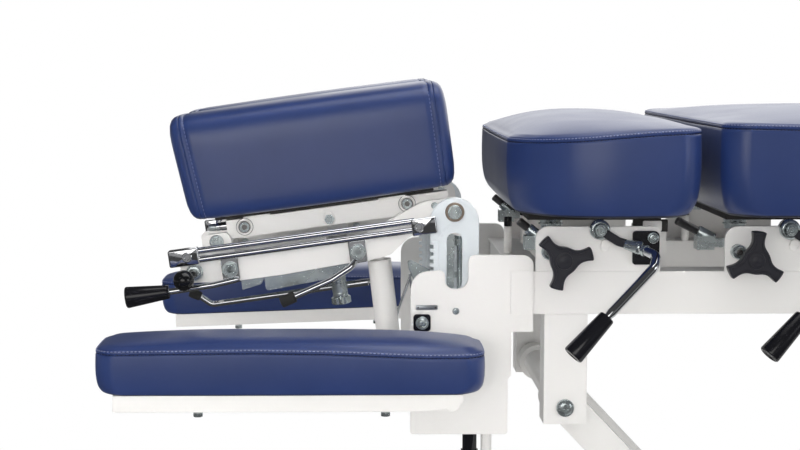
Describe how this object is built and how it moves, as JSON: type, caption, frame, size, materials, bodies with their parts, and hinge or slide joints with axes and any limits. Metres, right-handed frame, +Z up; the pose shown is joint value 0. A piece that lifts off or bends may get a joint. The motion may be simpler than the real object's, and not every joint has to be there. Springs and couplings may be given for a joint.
{
  "type": "chiropractic table",
  "caption": "Height-adjustable chiropractic table with a tilting split head piece, folding armrests and drop sections with cocking levers.",
  "frame": {"origin": "centre of the object's bounding box in plan, at the floor under the foot pads", "axes": "+X from the head end to the foot end, +Y across the table away from the side with the handles, +Z up"},
  "size_m": [1.9018, 0.7206, 0.83],
  "materials": {
    "white_paint": "satin powder coat, slightly warm white",
    "plate_white": "satin powder coat, cool white",
    "zinc": "blue-tinted zinc plating",
    "chrome": "polished chrome",
    "black_plastic": "moulded black plastic",
    "rubber": "black rubber",
    "board": "black-stained plywood",
    "vinyl": "navy vinyl with a fine grain and a soft sheen"
  },
  "bodies": {
    "base": {"base_rails": "white_paint", "base_crossbars": "white_paint", "base_lugs": "white_paint", "base_bolts": "zinc", "foot_pads": "rubber", "foot_stems": "zinc"},
    "head_leg_frame": {"head_legs": "white_paint"},
    "foot_leg_frame": {"foot_legs": "white_paint"},
    "actuator_outer": {"actuator_barrel": "black_plastic"},
    "actuator_inner": {"actuator_rod": "chrome"},
    "top_frame": {"side_beams": "white_paint", "beam_crossbars": "white_paint", "leg_brackets": "white_paint", "cheek_plates": "white_paint", "mast_plates": "white_paint", "frame_bolts": "zinc", "tension_rods": "zinc", "stop_brackets": "black_plastic", "control_box": "black_plastic", "leg_board": "board", "leg_cushion": "vinyl", "lift_spindles": "zinc"},
    "elevator": {"elevator_plates": "plate_white", "elevator_racks": "plate_white", "head_pivot_bolts": "zinc"},
    "height_knob": {"height_clamp": "black_plastic"},
    "head_frame": {"head_arms": "white_paint", "head_crossbars": "white_paint", "chrome_rails": "chrome", "head_mechanism": "zinc"},
    "strut_outer": {"strut_tube": "white_paint"},
    "strut_inner": {"strut_rod": "chrome"},
    "head_tray": {"tray_rails": "white_paint"},
    "near_head": {"near_head_board": "board", "near_head_cushion": "vinyl"},
    "far_head": {"far_head_board": "board", "far_head_cushion": "vinyl"},
    "head_handle": {"head_lever": "chrome", "head_grip": "black_plastic"},
    "ball_plunger": {"ball_knob": "black_plastic"},
    "release_bail": {"bail_lever": "chrome"},
    "small_lever": {"short_lever": "chrome"},
    "near_armrest": {"near_arm_tray": "white_paint", "near_arm_cushion": "vinyl"},
    "far_armrest": {"far_arm_tray": "white_paint", "far_arm_cushion": "vinyl"},
    "thoracic_section": {"thoracic_board": "board", "thoracic_cushion": "vinyl"},
    "thoracic_handle": {"thoracic_lever": "chrome", "thoracic_grip": "black_plastic"},
    "thoracic_tension": {"thoracic_knob": "black_plastic"},
    "lumbar_section": {"lumbar_board": "board", "lumbar_cushion": "vinyl"},
    "lumbar_handle": {"lumbar_lever": "chrome", "lumbar_grip": "black_plastic"},
    "lumbar_tension": {"lumbar_knob": "black_plastic"},
    "pelvic_section": {"pelvic_board": "board", "pelvic_cushion": "vinyl"},
    "pelvic_handle": {"pelvic_lever": "chrome"},
    "pelvic_tension": {"pelvic_knob": "black_plastic"}
  },
  "joints": [
    {"name": "lift", "type": "hinge", "parent": "base", "child": "head_leg_frame", "pos_m": [-0.07537, 0, 0.074], "axis": [0, 1, 0], "range_deg": [-31.7, 18.3]},
    {"name": "top_level", "type": "hinge", "parent": "head_leg_frame", "child": "top_frame", "pos_m": [-0.432, 0, 0.45244], "axis": [0, 1, 0], "range_deg": [-18.3, 31.7]},
    {"name": "foot_lift", "type": "hinge", "parent": "base", "child": "foot_leg_frame", "pos_m": [0.77463, 0, 0.074], "axis": [0, 1, 0], "range_deg": [-31.7, 18.3]},
    {"name": "actuator_swing", "type": "hinge", "parent": "base", "child": "actuator_inner", "pos_m": [-0.31297, 0, 0.074], "axis": [0, 1, 0], "range_deg": [-10.98, 6.42]},
    {"name": "actuator_joint", "type": "hinge", "parent": "head_leg_frame", "child": "actuator_outer", "pos_m": [-0.02065, 0, 0.22435], "axis": [0, 1, 0], "range_deg": [-12.28, 21.12]},
    {"name": "head_height", "type": "slide", "parent": "top_frame", "child": "elevator", "axis": [0, 0, 1], "range_m": [0, 0.09]},
    {"name": "height_knob_turn", "type": "hinge", "parent": "top_frame", "child": "height_knob", "pos_m": [-0.539, -0.122, 0], "axis": [0, 0, 1], "continuous": true},
    {"name": "head_tilt", "type": "hinge", "parent": "elevator", "child": "head_frame", "pos_m": [-0.56, 0, 0.67894], "axis": [0, 1, 0], "range_deg": [-12, 18]},
    {"name": "strut_swing", "type": "hinge", "parent": "elevator", "child": "strut_inner", "pos_m": [-0.629, -0.102, 0.47044], "axis": [0, 1, 0], "range_deg": [-3.08, 2.12]},
    {"name": "strut_joint", "type": "hinge", "parent": "head_frame", "child": "strut_outer", "pos_m": [-0.64879, -0.102, 0.63448], "axis": [0, 1, 0], "range_deg": [-21.08, 14.12]},
    {"name": "head_drop", "type": "hinge", "parent": "head_frame", "child": "head_tray", "pos_m": [-0.58315, 0, 0.68586], "axis": [0, 1, 0], "range_deg": [-3, 0]},
    {"name": "near_head_slide", "type": "slide", "parent": "head_tray", "child": "near_head", "axis": [0, -1, 0], "range_m": [0, 0.025]},
    {"name": "far_head_slide", "type": "slide", "parent": "head_tray", "child": "far_head", "axis": [0, 1, 0], "range_m": [0, 0.025]},
    {"name": "head_handle_turn", "type": "hinge", "parent": "head_frame", "child": "head_handle", "pos_m": [-0.82131, -0.15, 0.61186], "axis": [0, 1, 0], "range_deg": [-25, 0]},
    {"name": "ball_pull", "type": "slide", "parent": "head_frame", "child": "ball_plunger", "axis": [0, -1, 0], "range_m": [0, 0.01]},
    {"name": "bail_squeeze", "type": "hinge", "parent": "head_frame", "child": "release_bail", "pos_m": [-0.64484, -0.036, 0.58354], "axis": [0, 1, 0], "range_deg": [0, 6], "stiffness_Nm_per_rad": 0.9, "springref_deg": -8.59},
    {"name": "small_lever_turn", "type": "hinge", "parent": "head_frame", "child": "small_lever", "pos_m": [-0.6727, -0.15, 0.63221], "axis": [0, 1, 0], "range_deg": [-20, 10]},
    {"name": "near_arm_fold", "type": "hinge", "parent": "top_frame", "child": "near_armrest", "pos_m": [-0.575, -0.3, 0.49714], "axis": [0, 1, 0], "range_deg": [-35, 0]},
    {"name": "far_arm_fold", "type": "hinge", "parent": "top_frame", "child": "far_armrest", "pos_m": [-0.575, 0.3, 0.49714], "axis": [0, 1, 0], "range_deg": [-33, 2]},
    {"name": "thoracic_drop", "type": "hinge", "parent": "top_frame", "child": "thoracic_section", "pos_m": [-0.331, 0, 0.65544], "axis": [0, 1, 0], "range_deg": [-3, 0]},
    {"name": "thoracic_cock", "type": "hinge", "parent": "top_frame", "child": "thoracic_handle", "pos_m": [-0.3955, -0.18, 0.66144], "axis": [0, 1, 0], "range_deg": [0, 40]},
    {"name": "thoracic_tension_turn", "type": "hinge", "parent": "top_frame", "child": "thoracic_tension", "pos_m": [-0.4395, -0.2, 0.62844], "axis": [0, 1, 0], "continuous": true},
    {"name": "lumbar_drop", "type": "hinge", "parent": "top_frame", "child": "lumbar_section", "pos_m": [0.023, 0, 0.65544], "axis": [0, 1, 0], "range_deg": [-2, 0]},
    {"name": "lumbar_cock", "type": "hinge", "parent": "top_frame", "child": "lumbar_handle", "pos_m": [-0.177, -0.18, 0.66144], "axis": [0, 1, 0], "range_deg": [0, 40]},
    {"name": "lumbar_tension_turn", "type": "hinge", "parent": "top_frame", "child": "lumbar_tension", "pos_m": [-0.221, -0.2, 0.62844], "axis": [0, 1, 0], "continuous": true},
    {"name": "pelvic_drop", "type": "hinge", "parent": "top_frame", "child": "pelvic_section", "pos_m": [0.393, 0, 0.65544], "axis": [0, 1, 0], "range_deg": [-2, 0]},
    {"name": "pelvic_cock", "type": "hinge", "parent": "top_frame", "child": "pelvic_handle", "pos_m": [0.1855, -0.18, 0.66144], "axis": [0, 1, 0], "range_deg": [0, 40]},
    {"name": "pelvic_tension_turn", "type": "hinge", "parent": "top_frame", "child": "pelvic_tension", "pos_m": [0.1415, -0.2, 0.62844], "axis": [0, 1, 0], "continuous": true}
  ],
  "couplings": [
    {"joint": "top_level", "follows": "lift", "ratio": -1},
    {"joint": "foot_lift", "follows": "lift", "ratio": 1},
    {"joint": "actuator_swing", "follows": "lift", "ratio": 0.34},
    {"joint": "actuator_joint", "follows": "lift", "ratio": -0.66},
    {"joint": "strut_swing", "follows": "head_tilt", "ratio": -0.16},
    {"joint": "strut_joint", "follows": "head_tilt", "ratio": -1.16}
  ]
}
